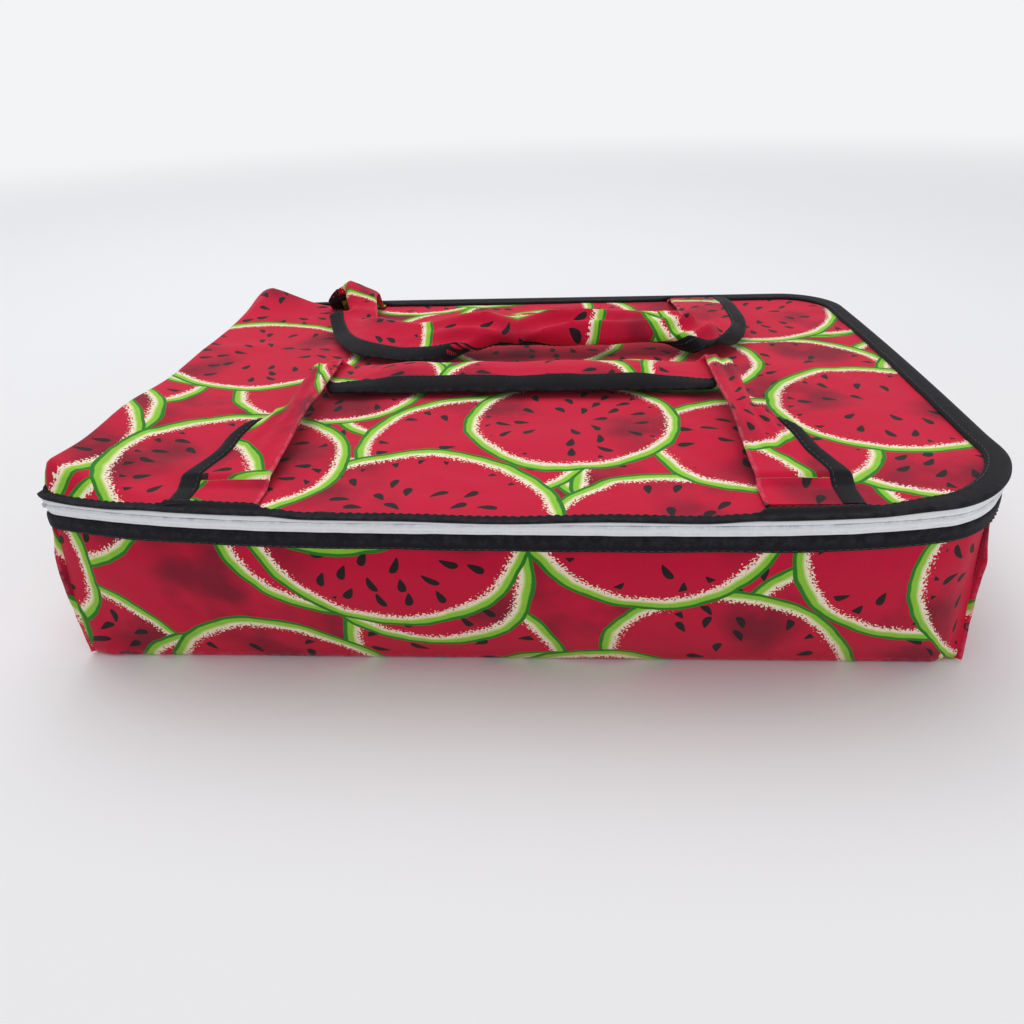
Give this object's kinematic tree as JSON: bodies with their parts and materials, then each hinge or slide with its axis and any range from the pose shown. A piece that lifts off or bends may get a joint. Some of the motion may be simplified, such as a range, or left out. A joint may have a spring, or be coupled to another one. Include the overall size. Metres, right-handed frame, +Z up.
{
  "type": "zip-round casserole carrier",
  "caption": "Padded fabric carrier for an oblong dish: zip-round lid that folds back along its left edge, and a pair of carrying straps sewn across the lid.",
  "frame": {"origin": "under the middle of the bounding box, on the surface the bag rests on", "axes": "+X to the viewer's right, +Y away from the viewer, +Z up; the lid folds back to -X"},
  "size_m": [0.4134, 0.3142, 0.1002],
  "materials": {
    "printed_cotton": "plain-weave cotton, matte",
    "black_binding": "bias binding, matte",
    "lining_cloth": "plain cotton, matte",
    "wadding": "needled wadding, matte",
    "stiffener_board": "matte",
    "zip_tape": "woven tape, matte",
    "zip_coil": "satin nylon",
    "zip_metal": "nickel, satin"
  },
  "bodies": {
    "base": {"bottom_outer_panel": "printed_cotton", "base_stiffener_board": "stiffener_board", "floor_wadding": "wadding", "floor_lining": "lining_cloth", "front_wall_outer_panel": "printed_cotton", "front_wall_wadding": "wadding", "front_wall_lining": "lining_cloth", "right_wall_outer_panel": "printed_cotton", "right_wall_wadding": "wadding", "right_wall_lining": "lining_cloth", "back_wall_outer_panel": "printed_cotton", "back_wall_wadding": "wadding", "back_wall_lining": "lining_cloth", "left_wall_outer_panel": "printed_cotton", "left_wall_wadding": "wadding", "left_wall_lining": "lining_cloth", "front_left_corner_seam": "printed_cotton", "front_right_corner_seam": "printed_cotton", "back_right_corner_seam": "printed_cotton", "back_left_corner_seam": "printed_cotton", "body_rim_binding": "black_binding", "lower_zip_tape": "zip_tape", "lower_zip_coil": "zip_coil", "front_zip_stop": "zip_metal", "back_zip_stop": "zip_metal"},
    "lid": {"lid_lining": "lining_cloth", "lid_wadding": "wadding", "lid_outer_panel": "printed_cotton", "hinge_fold_strip": "printed_cotton", "lid_binding": "black_binding", "upper_zip_tape": "zip_tape", "upper_zip_coil": "zip_coil", "front_strap_left_tail": "printed_cotton", "front_strap_right_tail": "printed_cotton", "back_strap_left_tail": "printed_cotton", "back_strap_right_tail": "printed_cotton"},
    "front_handle": {"front_strap": "printed_cotton", "front_strap_binding": "black_binding"},
    "back_handle": {"back_strap": "printed_cotton", "back_strap_binding": "black_binding"},
    "slider": {"zip_slider": "zip_metal"},
    "pull_tab": {"zip_pull_tab": "zip_metal"}
  },
  "joints": [
    {"name": "lid_fold", "type": "hinge", "parent": "base", "child": "lid", "pos_m": [-0.2049, 0, 0.08105], "axis": [0, -1, 0], "range_deg": [0, 180]},
    {"name": "front_handle_lift", "type": "hinge", "parent": "lid", "child": "front_handle", "pos_m": [0, -0.12955, 0.0922], "axis": [1, 0, 0], "range_deg": [0, 160]},
    {"name": "back_handle_lift", "type": "hinge", "parent": "lid", "child": "back_handle", "pos_m": [0, 0.13325, 0.0922], "axis": [-1, 0, 0], "range_deg": [0, 160]},
    {"name": "slider_run", "type": "slide", "parent": "base", "child": "slider", "axis": [1, 0, 0], "range_m": [0, 0.33]},
    {"name": "pull_tab_swing", "type": "hinge", "parent": "slider", "child": "pull_tab", "pos_m": [-0.18956, 0.15485, 0.08445], "axis": [0, 0, 1], "range_deg": [0, 180]}
  ]
}
